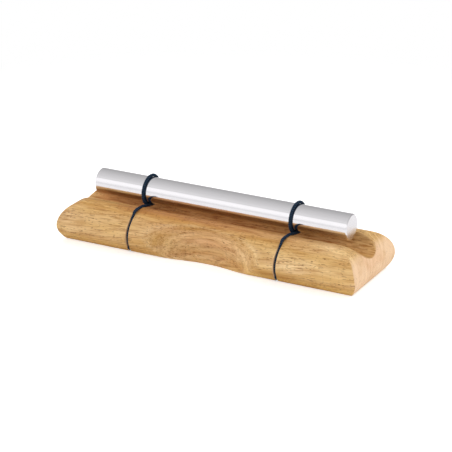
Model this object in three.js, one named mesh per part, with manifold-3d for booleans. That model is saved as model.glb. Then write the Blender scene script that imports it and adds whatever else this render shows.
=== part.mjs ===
// A chime bar: a polished aluminium rod slung on two elastic cords over the
// trough of a shaped hardwood base. Each cord runs under the base in a saw kerf,
// up over the ridges, once round the rod, and is knotted in a pocket underneath.
// Millimetres. +X runs along the rod, +Z is up, and the origin lies on the table
// under the middle of the base.

import * as THREE from 'three';
import { mergeVertices } from 'three/addons/utils/BufferGeometryUtils.js';
import Module from 'manifold-3d';

const wasm = await Module();
wasm.setup();

// Rod
const rodDiameter = 16;
const rodLength = 168;
const rodAxisHeight = 31.7;
const rodChamfer = 0.6;

// Outer shape of the base
const footWidth = 47.6;
const footLength = 190.6;
const sideBulge = 4.7;
const sideBulgeHeight = 10.7;
const endBulge = 4;
const endBulgeHeight = 8.4;
const ridgeHeight = 24.5;
const crownWidth = 28.8;
const crownLength = 162.8;
const sideShoulderPower = 1.85;
const endShoulderPower = 2.1;

// Trough along the top of the base
const troughRadius = 12;
const troughDepth = 8.6;

// Finger grips in the front and the rear of the base
const gripTopDepth = 7.3;
const gripTopRadius = 104;
const gripCreaseDepth = 13.7;
const gripCreaseRadius = 45;
const gripCreaseHeight = 3.1;
const gripLipInset = 3;
const gripLipRadius = 345;

// Cords
const cordDiameter = 1.9;
const cordSpacing = 98.2;
const cordSeatGap = 0.25;
const cordJointGap = 0.3;
const wrapPitch = 2.8;

// Kerfs and knot pockets for the cords
const kerfWidth = 1.6;
const kerfDepth = 2.7;
const kerfUnderDepth = 2.9;
const kerfStartDrop = 1.1;
const kerfRampHeight = 5;
const pocketDiameter = 11;
const pocketDepth = 6;
const knotLength = 6.4;
const knotThickness = 4.2;
const knotCentreHeight = 3.1;

// Cuts run past the faces that they open by this much
const overrun = 2;

// Facets
const lowerFacets = 6;
const shoulderFacets = 10;
const troughSegments = 72;
const gripSegments = 144;
const lipFacets = 24;
const rodSegments = 48;
const cordSides = 8;
const runSteps = 34;
const spanSteps = 4;
const wrapStepsPerTurn = 24;

// Sizes worked out from those above
const rodRadius = rodDiameter / 2;
const footHalfWidth = footWidth / 2;
const footHalfLength = footLength / 2;
const widestHalfWidth = footHalfWidth + sideBulge;
const throughLength = footLength + 2 * endBulge + 2 * overrun;
const throughWidth = 2 * widestHalfWidth + 2 * overrun;
const crownHalfWidth = crownWidth / 2;
const troughAxisHeight = ridgeHeight - troughDepth + troughRadius;
const lipHalfWidth = Math.sqrt(troughRadius ** 2 - (troughAxisHeight - ridgeHeight) ** 2);
const cordRadius = cordDiameter / 2;
const cordLift = cordRadius + cordSeatGap;
const kerfStartHeight = ridgeHeight - kerfStartDrop;
const wrapRadius = rodRadius + cordLift;
const pocketRadius = pocketDiameter / 2;

const wood = new THREE.MeshStandardMaterial({ color: 0xd2a56c, roughness: 0.5, metalness: 0 });
const metal = new THREE.MeshStandardMaterial({ color: 0xd0d0d4, roughness: 0.18, metalness: 1 });
const elastic = new THREE.MeshStandardMaterial({ color: 0x12161d, roughness: 0.8, metalness: 0 });

// Solids

function toSolid(geometry) {
  const bare = geometry.clone();
  bare.deleteAttribute('normal');
  bare.deleteAttribute('uv');
  const merged = mergeVertices(bare);
  const solid = new wasm.Manifold(new wasm.Mesh({
    numProp: 3,
    vertProperties: new Float32Array(merged.attributes.position.array),
    triVerts: new Uint32Array(merged.index.array),
  }));
  return solid;
}

function toGeometry(solid) {
  const data = solid.getMesh();
  const geometry = new THREE.BufferGeometry();
  geometry.setAttribute('position', new THREE.BufferAttribute(new Float32Array(data.vertProperties), 3));
  geometry.setIndex(new THREE.BufferAttribute(new Uint32Array(data.triVerts), 1));
  const faceted = geometry.toNonIndexed();
  faceted.computeVertexNormals();
  return faceted;
}

// A prism of an outline of (across, up) points, run along X or along Y
function prism(outline, length, alongY) {
  const shape = new THREE.Shape(outline);
  const geometry = new THREE.ExtrudeGeometry(shape, { depth: length, bevelEnabled: false });
  geometry.translate(0, 0, -length / 2);
  geometry.rotateX(Math.PI / 2);
  if (!alongY) geometry.rotateZ(Math.PI / 2);
  return toSolid(geometry);
}

function box(width, depth, low, high) {
  const geometry = new THREE.BoxGeometry(width, depth, high - low);
  geometry.translate(0, 0, (low + high) / 2);
  return toSolid(geometry);
}

// Outline of the base

// Half of a section from the foot to the edge of the crown: a bulge that leaves
// the foot and comes upright at its height, then a superellipse to the crown
function flank(foot, bulge, bulgeHeight, crown, power) {
  const points = [];
  for (let i = 0; i < lowerFacets; i += 1) {
    const rise = i / lowerFacets;
    points.push(new THREE.Vector2(foot + bulge * (1 - (1 - rise) ** 2), bulgeHeight * rise));
  }
  for (let i = 0; i <= shoulderFacets; i += 1) {
    const turn = (Math.PI / 2) * (i / shoulderFacets);
    const out = Math.max(Math.cos(turn), 0) ** (2 / power);
    const up = Math.sin(turn) ** (2 / power);
    points.push(new THREE.Vector2(
      crown + (foot + bulge - crown) * out,
      bulgeHeight + (ridgeHeight - bulgeHeight) * up,
    ));
  }
  return points;
}

function mirrored(half) {
  const other = half.map((p) => new THREE.Vector2(-p.x, p.y)).reverse();
  return [...half, ...other];
}

const sideFlank = flank(footHalfWidth, sideBulge, sideBulgeHeight, crownHalfWidth, sideShoulderPower);
const endFlank = flank(footHalfLength, endBulge, endBulgeHeight, crownLength / 2, endShoulderPower);

// The outline's outward normal at one of its points
function outwardNormal(outline, i) {
  const before = outline[Math.max(i - 1, 0)];
  const after = outline[Math.min(i + 1, outline.length - 1)];
  const along = new THREE.Vector2().subVectors(after, before).normalize();
  return new THREE.Vector2(along.y, -along.x);
}

// How deep the kerf's floor lies under the side at a height: nothing at its
// start on the shoulder, then rounding down to its full depth
function kerfDepthAt(height) {
  const share = THREE.MathUtils.clamp((kerfStartHeight - height) / kerfRampHeight, 0, 1);
  return kerfDepth * (1 - (1 - share) ** 2);
}

// The side's outline moved out by a distance, and in by the kerf's depth
function kerfFlank(out) {
  return sideFlank.map((p, i) => {
    const shift = out - kerfDepthAt(p.y);
    return p.clone().addScaledVector(outwardNormal(sideFlank, i), shift);
  });
}

// Base

function pillow() {
  const across = prism(mirrored(sideFlank), throughLength, false);
  const along = prism(mirrored(endFlank), throughWidth, true);
  return across.intersect(along);
}

function troughCutter() {
  const geometry = new THREE.CylinderGeometry(troughRadius, troughRadius, throughLength, troughSegments);
  geometry.rotateZ(Math.PI / 2);
  geometry.translate(0, 0, troughAxisHeight);
  return toSolid(geometry);
}

// A leaning cone: its circles sink deeper into the front, and grow tighter,
// from the ridge down to the crease above the lip
function gripCone() {
  const climb = ridgeHeight - gripCreaseHeight;
  const low = -overrun;
  const high = ridgeHeight + overrun;
  const radiusAt = (z) => gripCreaseRadius
    + (gripTopRadius - gripCreaseRadius) * ((z - gripCreaseHeight) / climb);
  const wallAt = (z) => -widestHalfWidth + gripCreaseDepth
    + (gripTopDepth - gripCreaseDepth) * ((z - gripCreaseHeight) / climb);
  const centreAt = (z) => wallAt(z) - radiusAt(z);
  const lean = (centreAt(high) - centreAt(low)) / (high - low);
  const geometry = new THREE.CylinderGeometry(radiusAt(high), radiusAt(low), high - low, gripSegments);
  geometry.rotateX(Math.PI / 2);
  geometry.translate(0, 0, (high + low) / 2);
  geometry.applyMatrix4(new THREE.Matrix4().makeShear(0, 0, 0, 0, 0, lean));
  geometry.translate(0, centreAt(0), 0);
  return toSolid(geometry);
}

// The space above the lip, a shallow valley that climbs from the foot inwards
function aboveLip() {
  const reach = gripTopRadius;
  const foot = new THREE.Vector2(-footHalfWidth + gripLipInset, 0);
  const crease = new THREE.Vector2(-widestHalfWidth + gripCreaseDepth, gripCreaseHeight);
  const climb = Math.atan2(crease.y - foot.y, crease.x - foot.x);
  const outline = [];
  for (let i = 0; i <= lipFacets; i += 1) {
    const x = reach * ((2 * i) / lipFacets - 1);
    outline.push(new THREE.Vector2(x, gripLipRadius - Math.sqrt(gripLipRadius ** 2 - x ** 2)));
  }
  outline.push(new THREE.Vector2(reach, reach), new THREE.Vector2(-reach, reach));
  const shape = new THREE.Shape(outline);
  const geometry = new THREE.ExtrudeGeometry(shape, { depth: 2 * reach, bevelEnabled: false });
  geometry.translate(0, 0, -reach);
  geometry.rotateX(Math.PI / 2 + climb);
  geometry.translate(0, foot.x, foot.y);
  return toSolid(geometry);
}

function gripCutter() {
  return gripCone().intersect(aboveLip());
}

// What the saw leaves inside the kerf: the side's outline set in by the depth
function kerfCore() {
  const half = kerfFlank(0).filter((p) => p.y > kerfUnderDepth && p.y < kerfStartHeight);
  const foot = half[0];
  const start = shoulderPointAt(kerfStartHeight);
  const outline = mirrored([
    new THREE.Vector2(foot.x, kerfUnderDepth),
    ...half,
    new THREE.Vector2(start, kerfStartHeight),
    new THREE.Vector2(start, ridgeHeight + 2 * overrun),
  ]);
  return prism(outline, kerfWidth + 2 * overrun, false);
}

// Half width of the base at a height on the shoulder
function shoulderPointAt(height) {
  const up = (height - sideBulgeHeight) / (ridgeHeight - sideBulgeHeight);
  const out = (1 - up ** sideShoulderPower) ** (1 / sideShoulderPower);
  return crownHalfWidth + (widestHalfWidth - crownHalfWidth) * out;
}

function kerfCutter() {
  const slab = box(kerfWidth, throughWidth, -overrun, ridgeHeight + overrun);
  return slab.subtract(kerfCore());
}

function pocketCutter() {
  const geometry = new THREE.CylinderGeometry(pocketRadius, pocketRadius, pocketDepth + overrun, rodSegments);
  geometry.rotateX(Math.PI / 2);
  geometry.translate(0, 0, (pocketDepth - overrun) / 2);
  return toSolid(geometry);
}

function woodBase() {
  const grip = gripCutter();
  const kerf = kerfCutter().add(pocketCutter());
  let body = pillow().subtract(troughCutter());
  body = body.subtract(grip).subtract(grip.rotate([0, 0, 180]));
  for (const side of [-1, 1]) body = body.subtract(kerf.translate([side * cordSpacing / 2, 0, 0]));
  return toGeometry(body);
}

// Rod

function rodGeometry() {
  const half = rodLength / 2;
  const profile = [
    new THREE.Vector2(0, -half),
    new THREE.Vector2(rodRadius - rodChamfer, -half),
    new THREE.Vector2(rodRadius, -half + rodChamfer),
    new THREE.Vector2(rodRadius, half - rodChamfer),
    new THREE.Vector2(rodRadius - rodChamfer, half),
    new THREE.Vector2(0, half),
  ];
  return toGeometry(toSolid(new THREE.LatheGeometry(profile, rodSegments)));
}

// Cords, each in its own plane x = 0

// The line that a free span follows: it passes over the lip of the trough and
// under the rod, touching a cord's lift above the one and below the other
function spanLine() {
  const lip = new THREE.Vector2(-lipHalfWidth, ridgeHeight);
  const axis = new THREE.Vector2(0, rodAxisHeight);
  const between = new THREE.Vector2().subVectors(axis, lip);
  const dip = Math.asin((cordLift + wrapRadius) / between.length());
  const slope = between.angle() - dip;
  const normal = new THREE.Vector2(-Math.sin(slope), Math.cos(slope));
  return {
    slope,
    lip: lip.clone().addScaledVector(normal, cordLift),
    rod: axis.clone().addScaledVector(normal, -wrapRadius),
  };
}

const span = spanLine();

// The wrap leaves the front span under the rod, climbs the rear of the rod,
// comes down its front and leaves for the rear span, stepping one pitch along
class WrapCurve extends THREE.Curve {
  getPoint(share, target = new THREE.Vector3()) {
    const sweep = 2 * Math.PI - 2 * span.slope;
    const turn = span.slope + sweep * share;
    const along = wrapPitch / 2 - wrapPitch * (turn / (2 * Math.PI));
    return target.set(
      along,
      wrapRadius * Math.sin(turn),
      rodAxisHeight - wrapRadius * Math.cos(turn),
    );
  }
}

const wrapCurve = new WrapCurve();

function cordAlong(curve, steps) {
  const ring = [];
  for (let i = 0; i < cordSides; i += 1) {
    const turn = (2 * Math.PI * i) / cordSides;
    ring.push(new THREE.Vector2(cordRadius * Math.cos(turn), cordRadius * Math.sin(turn)));
  }
  const shape = new THREE.Shape(ring);
  return new THREE.ExtrudeGeometry(shape, { steps, extrudePath: curve, bevelEnabled: false });
}

// The least gap between two turns of the wrap, measured on points of its middle
function leastWrapGap() {
  const count = 8 * wrapStepsPerTurn;
  const points = wrapCurve.getPoints(count);
  let least = Infinity;
  points.forEach((p, i) => {
    for (let j = i + count / 2; j <= count; j += 1) least = Math.min(least, p.distanceTo(points[j]));
  });
  return least - cordDiameter;
}

function wrapGeometry() {
  const turns = (Math.PI - span.slope) / Math.PI;
  return cordAlong(wrapCurve, Math.round(wrapStepsPerTurn * turns));
}

// The free span from the lip of the trough to the rod, with a small gap at each end
function spanGeometry() {
  const lip = new THREE.Vector3(0, span.lip.x, span.lip.y);
  const rod = wrapCurve.getPoint(0);
  const along = new THREE.Vector3().subVectors(rod, lip).normalize().multiplyScalar(cordJointGap);
  const line = new THREE.LineCurve3(lip.add(along), rod.sub(along));
  return cordAlong(line, spanSteps);
}

// The cord's narrow width in the kerf, as a share of its width on the crown
function pinchShare(y, z) {
  const narrow = (kerfWidth / 2 - cordSeatGap) / cordRadius;
  const start = shoulderPointAt(kerfStartHeight);
  const eased = THREE.MathUtils.smoothstep(Math.abs(y), crownHalfWidth, start);
  return z < sideBulgeHeight ? narrow : THREE.MathUtils.lerp(1, narrow, eased);
}

// The held run: round the lip, over the crown, down the kerf, and under the
// base to the knot
function runPoints() {
  const points = [];
  const lipTurns = 2;
  for (let i = 0; i <= lipTurns; i += 1) {
    const turn = Math.PI / 2 + span.slope * (1 - i / lipTurns);
    points.push(new THREE.Vector2(
      -lipHalfWidth + cordLift * Math.cos(turn),
      ridgeHeight + cordLift * Math.sin(turn),
    ));
  }
  const held = kerfFlank(cordLift).filter((p) => p.y > kerfUnderDepth).reverse();
  points.push(...held.map((p) => new THREE.Vector2(-p.x, p.y)));
  const under = kerfUnderDepth - cordLift;
  const corner = held[held.length - 1].x;
  points.push(new THREE.Vector2(-corner + cordRadius, under));
  points.push(new THREE.Vector2(-(corner + pocketRadius) / 2, under));
  points.push(new THREE.Vector2(-pocketRadius, under));
  points.push(new THREE.Vector2(-knotLength / 2 - cordJointGap, knotCentreHeight));
  return points.map((p) => new THREE.Vector3(0, p.x, p.y));
}

function runGeometry() {
  const curve = new THREE.CatmullRomCurve3(runPoints(), false, 'centripetal');
  const geometry = cordAlong(curve, runSteps);
  const place = geometry.attributes.position;
  for (let i = 0; i < place.count; i += 1) {
    place.setX(i, place.getX(i) * pinchShare(place.getY(i), place.getZ(i)));
  }
  return geometry;
}

// The knot that closes the cord's ring, as a plain bead of its outer size
function knotGeometry() {
  const geometry = new THREE.SphereGeometry(1, 2 * cordSides, cordSides);
  geometry.scale(knotThickness / 2, knotLength / 2, knotThickness / 2);
  return geometry;
}

// Assembly

function named(name, geometry, material) {
  const mesh = new THREE.Mesh(toGeometry(toSolid(geometry)), material);
  mesh.name = name;
  return mesh;
}

function cordSet(side, x) {
  const set = new THREE.Group();
  const front = {
    run: named(`${side}_cord_front_run`, runGeometry(), elastic),
    span: named(`${side}_cord_front_span`, spanGeometry(), elastic),
  };
  const rear = {
    run: named(`${side}_cord_rear_run`, runGeometry(), elastic),
    span: named(`${side}_cord_rear_span`, spanGeometry(), elastic),
  };
  rear.run.rotation.z = Math.PI;
  rear.span.rotation.z = Math.PI;
  const knot = named(`${side}_cord_knot`, knotGeometry(), elastic);
  knot.position.z = knotCentreHeight;
  set.add(front.run, front.span, named(`${side}_cord_wrap`, wrapGeometry(), elastic));
  set.add(rear.span, rear.run, knot);
  set.position.x = x;
  return set;
}

function chimeBar() {
  const group = new THREE.Group();
  const base = new THREE.Mesh(woodBase(), wood);
  base.name = 'wood_base';
  const rod = new THREE.Mesh(rodGeometry(), metal);
  rod.name = 'chime_rod';
  rod.rotation.z = Math.PI / 2;
  rod.position.z = rodAxisHeight;
  group.add(base, rod);
  group.add(cordSet('left', -cordSpacing / 2), cordSet('right', cordSpacing / 2));
  return group;
}

console.log(`least gap between the turns of a wrap: ${leastWrapGap().toFixed(2)} mm`);

export default chimeBar();
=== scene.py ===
"""A chime bar in its finish: a polished aluminium rod slung on two twisted
elastic cords over the trough of an oiled hardwood base.

Shapes are worked out in millimetres as grids of points and written in metres.
+X runs along the rod, +Y to the rear, +Z up, with the table at z = 0. A pair of
numbers whose name ends in SPAN says where an S curve starts and where it ends.
"""

from functools import partial

import bpy
import numpy as np
from mathutils import Matrix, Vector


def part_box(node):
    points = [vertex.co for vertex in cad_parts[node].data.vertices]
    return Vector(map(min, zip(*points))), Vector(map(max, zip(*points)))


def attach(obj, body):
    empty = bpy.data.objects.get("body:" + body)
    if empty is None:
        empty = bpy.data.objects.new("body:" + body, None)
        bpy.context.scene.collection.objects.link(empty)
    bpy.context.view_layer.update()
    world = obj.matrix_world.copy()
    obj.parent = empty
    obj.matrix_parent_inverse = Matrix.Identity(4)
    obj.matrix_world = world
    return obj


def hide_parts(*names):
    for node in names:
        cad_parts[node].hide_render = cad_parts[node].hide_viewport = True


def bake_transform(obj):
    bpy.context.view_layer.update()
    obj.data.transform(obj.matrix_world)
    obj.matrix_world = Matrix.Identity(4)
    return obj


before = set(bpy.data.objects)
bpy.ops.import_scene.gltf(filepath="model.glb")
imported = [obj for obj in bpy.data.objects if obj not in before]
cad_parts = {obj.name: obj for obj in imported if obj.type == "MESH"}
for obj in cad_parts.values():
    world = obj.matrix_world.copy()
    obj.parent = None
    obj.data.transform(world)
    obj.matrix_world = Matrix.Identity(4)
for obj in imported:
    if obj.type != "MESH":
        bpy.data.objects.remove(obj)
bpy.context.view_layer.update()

MM = 0.001
FULL_TURN = 2 * np.pi
TINY = 1e-12


def box_mm(name):
    """Lowest and highest corner of a node of the frame, in millimetres."""
    return [np.array(corner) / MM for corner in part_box(name)]


LONG_HALF, WIDE_HALF, RIDGE = box_mm("wood_base")[1]
ROD_LOW, ROD_HIGH = box_mm("chime_rod")
CORD_PLACES = {
    side: float(sum(corner[0] for corner in box_mm(f"{side}_cord_knot"))) / 2
    for side in ("left", "right")
}

# Base: the outer shape
SIDE_BULGE = 4.7
SIDE_BULGE_Z = 10.7
SIDE_POWER = 1.85
END_BULGE = 4.0
END_BULGE_Z = 8.4
END_POWER = 2.1
END_FOOT_SOFTNESS = 0.5
CROWN_WIDE_HALF = 14.4
CROWN_LONG_HALF = 81.4
FOOT_EDGE = 0.7
CREASE_EDGE = 0.9
CORNER_ROOM_SHARE = 0.3
TIP_THICKNESS = 0.3

# Base: the trough
TROUGH_RADIUS = 12.0
TROUGH_DEPTH = 8.6
TROUGH_AXIS = RIDGE - TROUGH_DEPTH + TROUGH_RADIUS
TROUGH_RIM_SLOPE = 10
LIP_HALF = float(np.sqrt(TROUGH_RADIUS**2 - (TROUGH_AXIS - RIDGE) ** 2))
LIP_SOFTNESS = 1.3

# Base: the finger grips
GRIP_TOP_DEPTH = 7.3
GRIP_TOP_RADIUS = 104.0
GRIP_CREASE_DEPTH = 13.7
GRIP_CREASE_RADIUS = 45.0
GRIP_CREASE_Z = 2.9
GRIP_CREASE_HALF = 27.5
GRIP_LIP_INSET = 3.0
GRIP_LIP_RADIUS = 168.0
GRIP_EDGE_SOFTNESS = 2.2
CREASE_SOFTNESS = 0.9
GRIP_END = 43.5
GRIP_SIDE_START = 32.0

# Base: kerfs, the notches over them and the knot pockets
KERF_HALF_WIDTH = 0.8
KERF_EDGE = 0.14
KERF_DEPTH = 2.7
KERF_UNDER_DEPTH = 2.9
KERF_START_Z = RIDGE - 1.8
KERF_RAMP = 2.6
KERF_LEAN_OUT = 0.0284
KERF_LEAN_DOWN = 0.0485
KERF_FOOT_SHIFT = 1.3
KERF_LEAN_START = 1.2
NOTCH_DEPTH = 0.62
NOTCH_SPAN = (CROWN_WIDE_HALF - 1, 20.8)
NOTCH_LIP_SPAN = (LIP_HALF - 2, LIP_HALF - 0.5)
POCKET_RADIUS = 5.5
POCKET_DEPTH = 6.0
POCKET_WALL_SPAN = (POCKET_RADIUS - 0.06, POCKET_RADIUS + 0.06)
POCKET_ROUND_TO = 6.2
POCKET_REACH = 10.0

# Base: its grid, with distances from a pocket's middle along and across the base,
# and points on a kerf's edge in shares of its slope
ALONG_POCKET = (
    10, 8.6, 7.3, 6.4, 5.9, 5.68, 5.56, 5.53, 5.5, 5.47, 5.44, 5.32, 5, 4.2, 3.2, 2.2, 1.5, 1.15,
)
ACROSS_POCKET = (
    0, 1.6, 3.2, 4.4, 5.1, 5.32, 5.44, 5.47, 5.5, 5.53, 5.56, 5.68, 6.0, 7.0, 8.4, POCKET_REACH,
)
KERF_EDGE_SHARES = np.array([1, 0.6, 0.35, 0.1, -0.15, -0.4, -0.7, -1])
KERF_MIDDLE = (0.4, 0)
MIDDLE_STATIONS = 21
GRIP_END_STATIONS = 13
SHOULDER_STATIONS = 12
END_STATIONS = 56
BOTTOM_POINTS = 14
SIDE_POINTS = {"count": 78, "near_share": 0.03, "near_count": 5}
CROWN_POINTS = {"count": 24, "near_share": 0.08, "near_count": 6}
TROUGH_POINTS = 40
TROUGH_POWER = 1.25

# Rod
ROD_RADIUS = (ROD_HIGH[2] - ROD_LOW[2]) / 2
ROD_AXIS = (ROD_HIGH[2] + ROD_LOW[2]) / 2
ROD_HALF = ROD_HIGH[0]
ROD_SIDES = 192
ROD_BODY_RINGS = 40
ROD_BODY_END = 3
ROD_END_INSETS = np.array([0.9, 0.62, 0.56, 0.5, 0.1, 0.05, 0.0, 0.0])
ROD_END_DROPS = np.array([0.0, 0.01, 0.05, 0.1, 0.5, 0.56, 0.63, 1.0])

# Cords
CORD_RADIUS = 0.95
CORD_LIFT = CORD_RADIUS + 0.04
CORD_KERF_LIFT = CORD_RADIUS + 0.25
CORD_KERF_HALF_WIDTH = 0.72
CORD_LAY = 4.2
CORD_STRANDS = 3
CORD_STRAND_POWER = 0.75
CORD_GROOVE_SHARE = 0.32
CORD_SIDES = 30
CORD_STEP = 0.22
WRAP_RADIUS = ROD_RADIUS + CORD_LIFT
WRAP_PITCH = 2.1
WRAP_STEPS = 400
NOTCHED_LIP = np.array([-LIP_HALF, RIDGE - NOTCH_DEPTH])
RUN_SIDE_SHARES = np.array([0.36, 0.5, 0.75, 1])
RUN_SHOULDER_POINTS = 8
RUN_LIP_POINTS = 4
RUN_POCKET_RISE = 0.1
FACE_TOP = RIDGE - 0.001
FACE_STEPS = 2000
LINE_STEPS = 60

# Knots and their cut ends
KNOT_HALF_LENGTH = 3.2
KNOT_HEIGHT = 3.1
KNOT_RING = 1.05
KNOT_WAVE = 0.6
KNOT_LIFT = 0.8
KNOT_STRETCH = 1.5
KNOT_STEPS = 160
KNOT_CORD_RADIUS = 0.62
TAIL_CORD_RADIUS = 0.7
TAIL_POINTS = np.array([[0.3, 1.2, 3.0], [1.5, 2.4, 2.7], [2.6, 2.9, 3.0], [3.4, 2.8, 3.5]])


def smoothstep(low, high, x):
    """0 below low, 1 above high, an S curve between them."""
    t = np.clip((x - low) / (high - low), 0, 1)
    return t * t * (3 - 2 * t)


def soft_min(a, b, softness):
    """The lesser of a and b, rounded over where they differ by less than softness."""
    near = np.clip(softness - np.abs(a - b), 0, None) / softness
    return np.minimum(a, b) - near**3 * softness / 6


def soft_max(a, b, softness):
    """The greater of a and b, rounded in where they differ by less than softness."""
    return -soft_min(-a, -b, softness)


def closeness(a, b, reach):
    """1 where a equals b, falling to 0 where they differ by reach."""
    return np.clip(1 - np.abs(a - b) / reach, 0, 1)


def unit(vectors):
    """The vectors of the last axis at length 1."""
    return vectors / np.maximum(np.linalg.norm(vectors, axis=-1, keepdims=True), TINY)


def distances(line):
    """How far along a line of points each point lies."""
    return np.concatenate([[0], np.cumsum(np.linalg.norm(np.diff(line, axis=0), axis=1))])


# Making pieces


def added(name, data):
    """A new object of the data, in the scene."""
    made = bpy.data.objects.new(name, data)
    bpy.context.scene.collection.objects.link(made)
    return made


def grid_quads(rows, columns, closed_rows):
    """Quads of a grid whose columns join round, and rows if closed_rows is set."""
    i, j = np.meshgrid(np.arange(rows - 1 + closed_rows), np.arange(columns), indexing="ij")
    here, there, right = i * columns, (i + 1) % rows * columns, (j + 1) % columns
    corners = [here + j, here + right, there + right, there + j]
    return np.stack(corners, axis=-1).reshape(-1, 4)


def enclosed_volume(points, quads):
    """Volume inside the quads: positive if they face outwards, ends being flat."""
    a, b, c, d = (points[quads[:, k]] - points.mean(axis=0) for k in range(4))
    return np.sum(a * (np.cross(b, c) + np.cross(c, d))) / 6


def shell(name, grid, material, attributes=None, uv=None, closed_rows=False):
    """A piece from a grid of points (rows, columns, 3) in millimetres. Columns run
    round. The outer rows have flat caps, or join each other if closed_rows is set.
    attributes hold a value for each point."""
    rows, columns = grid.shape[:2]
    points = grid.reshape(-1, 3)
    quads = grid_quads(rows, columns, closed_rows)
    row = np.arange(columns)
    caps = [] if closed_rows else [row[::-1].tolist(), (row + (rows - 1) * columns).tolist()]
    if enclosed_volume(points, quads) <= 0:
        quads = quads[:, ::-1]
        caps = [cap[::-1] for cap in caps]
    mesh = bpy.data.meshes.new(name)
    mesh.from_pydata((points * MM).tolist(), [], quads.tolist() + caps)
    mesh.polygons.foreach_set("use_smooth", np.arange(len(mesh.polygons)) < len(quads))
    for key, values in (attributes or {}).items():
        layer = mesh.attributes.new(key, "FLOAT", "POINT")
        layer.data.foreach_set("value", values.reshape(-1).astype(np.float32))
    if uv is not None:
        corner_points = np.empty(len(mesh.loops), dtype=np.int32)
        mesh.loops.foreach_get("vertex_index", corner_points)
        layer = mesh.uv_layers.new(name="along_and_round")
        corner_uv = uv.reshape(-1, 2)[corner_points].astype(np.float32)
        layer.data.foreach_set("uv", corner_uv.reshape(-1))
    mesh.materials.append(material)
    mesh.update()
    return added(name, mesh)


# Shape of the base


def side_profile(z):
    """Half width of the block at height z: a parabola that leaves the foot and
    comes upright at the bulge, then a superellipse to the edge of the crown."""
    lower = WIDE_HALF - SIDE_BULGE * (1 - z / SIDE_BULGE_Z) ** 2
    rise = np.clip((z - SIDE_BULGE_Z) / (RIDGE - SIDE_BULGE_Z), 0, 1)
    out = (1 - rise**SIDE_POWER) ** (1 / SIDE_POWER)
    upper = CROWN_WIDE_HALF + (WIDE_HALF - CROWN_WIDE_HALF) * out
    return np.where(z < SIDE_BULGE_Z, lower, upper)


KERF_START_Y = float(side_profile(np.array(KERF_START_Z)))
CORD_PINCH_SPAN = (KERF_START_Y - 0.6, KERF_START_Y + 0.8)


def end_top(x):
    """Height of the block's top at x: level over the crown, then a superellipse
    that falls to the tip at the end bulge's height."""
    run = np.clip((np.abs(x) - CROWN_LONG_HALF) / (LONG_HALF - CROWN_LONG_HALF), 0, 1)
    return END_BULGE_Z + (RIDGE - END_BULGE_Z) * (1 - run**END_POWER) ** (1 / END_POWER)


def end_bottom(x):
    """Height of the block's underside at x: flat, then a parabola up to the tip."""
    left = np.clip((LONG_HALF - np.abs(x)) / END_BULGE, 0, None)
    return soft_max(END_BULGE_Z * (1 - np.sqrt(left)), np.zeros_like(x), END_FOOT_SOFTNESS)


def grip_side(z, x):
    """Half width that a finger grip leaves at height z and place x, and how close
    the point is to the grip's edges. The wall is a leaning cone round an upright
    axis in front of the block, and below it the lip is a shallow valley."""
    up = (z - GRIP_CREASE_Z) / (RIDGE - GRIP_CREASE_Z)
    radius = GRIP_CREASE_RADIUS + (GRIP_TOP_RADIUS - GRIP_CREASE_RADIUS) * up
    crease = WIDE_HALF - GRIP_CREASE_DEPTH
    deepest = crease + (GRIP_CREASE_DEPTH - GRIP_TOP_DEPTH) * up
    wall = deepest + radius - np.sqrt(np.clip(radius**2 - x**2, 0, None))
    foot = WIDE_HALF - SIDE_BULGE - GRIP_LIP_INSET
    slope = np.arctan2(GRIP_CREASE_Z, foot - crease)
    valley = GRIP_LIP_RADIUS - np.sqrt(GRIP_LIP_RADIUS**2 - x**2)
    lip = foot + (valley / np.cos(slope) - z) / np.tan(slope)
    cut = soft_max(wall, lip, CREASE_SOFTNESS)
    block = side_profile(z)
    inside = np.abs(x) < GRIP_END
    side = np.where(inside, soft_min(block, cut, GRIP_EDGE_SOFTNESS), block)
    edge = np.where(inside, closeness(block, cut, GRIP_EDGE_SOFTNESS), 0)
    return side, edge


def trough_floor(y):
    """Height of the trough's round floor at y, carried on steeply past its radius."""
    inside = np.clip(TROUGH_RADIUS**2 - y**2, 0, None)
    beyond = np.clip(np.abs(y) - TROUGH_RADIUS, 0, None)
    return TROUGH_AXIS - np.sqrt(inside) + TROUGH_RIM_SLOPE * beyond


def kerf_depth(z):
    """Depth of a kerf's floor at height z: none where it starts on the shoulder,
    rounding down to its full depth."""
    share = np.clip((KERF_START_Z - z) / KERF_RAMP, 0, 1)
    return KERF_DEPTH * (1 - (1 - share) ** 2)


def notch_depth(y):
    """Depth of the shallow notch that a cord lies in across the crown, at half
    width y: level beside the lip, then an S curve to nothing."""
    return NOTCH_DEPTH * (1 - smoothstep(*NOTCH_SPAN, y))


def kerf_lean(y, z):
    """How far to the left of its start a front kerf lies at (y, z): the saw leans,
    and under the base the kerf runs back to the knot pocket."""
    face = KERF_LEAN_OUT * (np.abs(y) - KERF_START_Y) + KERF_LEAN_DOWN * (KERF_START_Z - z)
    foot_y = WIDE_HALF - SIDE_BULGE
    under = KERF_FOOT_SHIFT * (np.abs(y) - POCKET_RADIUS) / (foot_y - POCKET_RADIUS)
    return np.clip(np.where(z < KERF_UNDER_DEPTH, np.minimum(under, KERF_FOOT_SHIFT), face), 0, None)


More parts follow.
